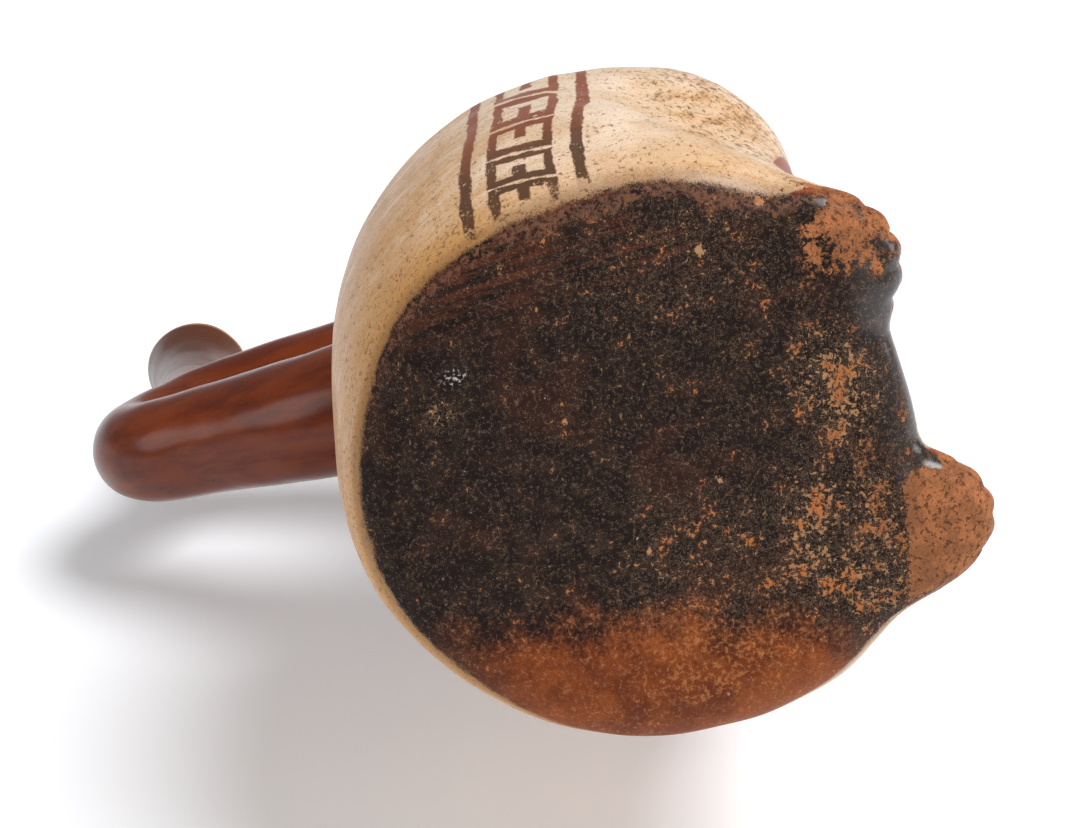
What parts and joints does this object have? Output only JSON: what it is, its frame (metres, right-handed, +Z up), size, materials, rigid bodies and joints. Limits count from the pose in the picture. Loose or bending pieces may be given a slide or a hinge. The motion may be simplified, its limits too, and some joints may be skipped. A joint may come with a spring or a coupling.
{
  "type": "stirrup spout vessel",
  "caption": "Hollow fired clay bottle shaped as a seated figure, with a stirrup-shaped tube handle at its back and a flared spout.",
  "frame": {"origin": "centre of the flat underside, on the plane that the vessel stands on", "axes": "+Z up through the head, the figure faces -Y, +X is the figure's left"},
  "size_m": [0.134, 0.1961, 0.2365],
  "materials": {
    "slipped_clay": "burnished slip, satin"
  },
  "bodies": {
    "root": {"vessel": "slipped_clay"}
  },
  "joints": []
}
